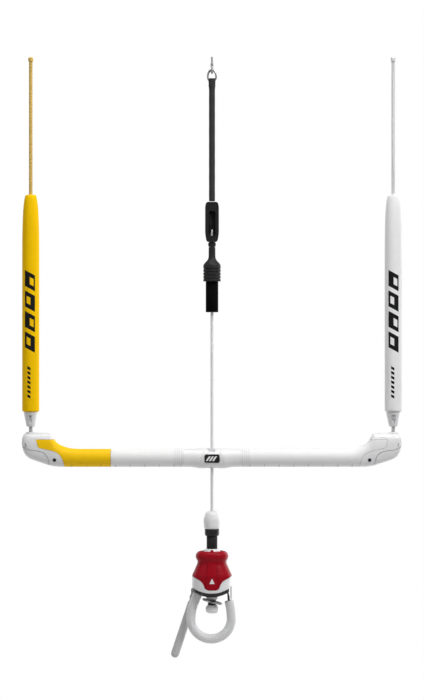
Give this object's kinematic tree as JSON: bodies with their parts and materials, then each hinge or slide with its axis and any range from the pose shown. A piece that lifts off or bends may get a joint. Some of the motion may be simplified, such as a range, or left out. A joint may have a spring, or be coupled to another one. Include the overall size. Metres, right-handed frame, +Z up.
{
  "type": "kitesurf control bar",
  "caption": "Kitesurf control bar hung by its lines: grip with curved ends, floats on leaders, trim cleat, push-away quick release and chicken loop.",
  "frame": {"origin": "top of the centre line's loop, where the kite's line hitches on; the bar hangs straight down from it", "axes": "+X along the grip to the right bar end, +Z up along the lines, -Y is the front with the badge"},
  "size_m": [0.5208, 0.0452, 0.8259],
  "materials": {
    "white_shell": "satin moulded nylon, pale grey-white",
    "grey_shell": "satin moulded nylon, light grey",
    "white_grip": "matt moulded polyurethane grip",
    "yellow_grip": "matt moulded polyurethane grip, yellow",
    "white_foam": "closed-cell EVA foam, white",
    "yellow_foam": "closed-cell EVA foam, yellow",
    "white_line": "braided and coated polyethylene line",
    "yellow_line": "braided polyethylene line, yellow",
    "black_rubber": "matt black rubber",
    "black_plastic": "black glass-filled nylon",
    "black_webbing": "woven black polyester sleeve",
    "red_plastic": "satin red moulded plastic",
    "steel": "stainless steel",
    "aluminium": "anodised aluminium"
  },
  "bodies": {
    "head": {"front_line_loop": "white_line", "head_ring": "steel", "trim_line": "black_webbing", "trim_sleeve": "black_webbing"},
    "centre_line": {"cleat_body": "black_plastic", "cleat_cover": "black_plastic", "cleat_pin_upper": "steel", "cleat_pin_lower": "steel", "cleat_jaw": "aluminium", "neck_bead": "black_rubber", "trim_boot": "black_rubber", "depower_line": "white_line", "swivel_cap": "white_shell", "swivel_collar": "black_plastic"},
    "stopper": {"stopper_sleeve": "black_rubber", "stopper_insert": "black_plastic"},
    "bush": {"line_bush": "aluminium"},
    "bar": {"centre_shell_front": "white_shell", "centre_shell_back": "white_shell", "centre_screw_left": "steel", "centre_screw_right": "steel", "badge_plate": "black_plastic", "line_insert": "grey_shell", "bar_tube": "aluminium", "grip_white_left": "white_grip", "grip_yellow_left": "yellow_grip", "grip_white_right": "white_grip", "end_cap_left": "grey_shell", "end_cap_right": "white_shell", "end_bumper_left": "grey_shell", "end_bumper_right": "white_shell", "end_screw_left": "steel", "end_screw_right": "steel", "line_grommet_left": "grey_shell", "line_grommet_right": "grey_shell"},
    "left_leader": {"leader_line_left": "yellow_line", "leader_end_left": "yellow_line"},
    "right_leader": {"leader_line_right": "white_line", "leader_end_right": "white_line"},
    "left_float": {"float_left": "yellow_foam", "float_cone_left": "grey_shell"},
    "right_float": {"float_right": "white_foam", "float_cone_right": "grey_shell"},
    "release": {"swivel_stem": "steel", "swivel_tube": "black_rubber", "core_barrel": "white_shell", "release_body": "white_shell", "release_base": "black_plastic", "release_spring": "steel", "latch_arm": "white_shell", "loop_cuff": "grey_shell", "finger_pin": "steel", "leash_stem": "white_shell"},
    "handle": {"release_handle": "red_plastic", "spring_seat": "black_plastic"},
    "loop": {"loop_tube": "grey_shell", "loop_tongue": "steel"},
    "finger": {"finger_tube": "grey_shell"},
    "leash_swivel": {"leash_bush": "black_plastic"},
    "leash": {"leash_ring": "steel"}
  },
  "joints": [
    {"name": "trim", "type": "slide", "parent": "head", "child": "centre_line", "axis": [0, 0, 1], "range_m": [0, 0.06], "deforming": ["trim_sleeve", "trim_line"]},
    {"name": "stopper_slide", "type": "slide", "parent": "centre_line", "child": "stopper", "axis": [0, 0, 1], "range_m": [-0.12, 0]},
    {"name": "sheet", "type": "slide", "parent": "centre_line", "child": "bush", "axis": [0, 0, 1], "range_m": [-0.045, 0.16]},
    {"name": "bar_tilt", "type": "hinge", "parent": "bush", "child": "bar", "pos_m": [0, 0, -0.55], "axis": [0, 1, 0], "range_deg": [-20, 20]},
    {"name": "left_leader_pivot", "type": "hinge", "parent": "bar", "child": "left_leader", "pos_m": [-0.2487, 0, -0.5218], "axis": [0, 1, 0], "range_deg": [-21, 21]},
    {"name": "right_leader_pivot", "type": "hinge", "parent": "bar", "child": "right_leader", "pos_m": [0.2487, 0, -0.5218], "axis": [0, 1, 0], "range_deg": [-21, 21]},
    {"name": "left_float_slide", "type": "slide", "parent": "left_leader", "child": "left_float", "axis": [0, 0, 1], "range_m": [0, 0.15]},
    {"name": "right_float_slide", "type": "slide", "parent": "right_leader", "child": "right_float", "axis": [0, 0, 1], "range_m": [0, 0.15]},
    {"name": "swivel_spin", "type": "hinge", "parent": "centre_line", "child": "release", "pos_m": [0, 0, -0.66], "axis": [0, 0, 1], "continuous": true},
    {"name": "handle_push", "type": "slide", "parent": "release", "child": "handle", "axis": [0, 0, 1], "range_m": [0, 0.012], "stiffness_N_per_m": 300, "springref_m": -0.015, "deforming": ["release_spring"]},
    {"name": "loop_open", "type": "hinge", "parent": "release", "child": "loop", "pos_m": [-0.0236, 0, -0.7464], "axis": [0, 1, 0], "range_deg": [0, 76]},
    {"name": "finger_swing", "type": "hinge", "parent": "release", "child": "finger", "pos_m": [-0.0252, 0.0134, -0.743], "axis": [0, 1, 0], "range_deg": [-30, 40]},
    {"name": "leash_spin", "type": "hinge", "parent": "release", "child": "leash_swivel", "pos_m": [0, 0, -0.748], "axis": [0, 0, 1], "continuous": true},
    {"name": "leash_ring_rock", "type": "hinge", "parent": "leash_swivel", "child": "leash", "pos_m": [0.0004, 0, -0.7472], "axis": [0, 1, 0], "range_deg": [-28.8, 0]}
  ],
  "couplings": [
    {"joint": "left_leader_pivot", "follows": "bar_tilt", "ratio": -1},
    {"joint": "right_leader_pivot", "follows": "bar_tilt", "ratio": -1},
    {"joint": "loop_open", "follows": "handle_push", "rad_per_m": 110}
  ]
}
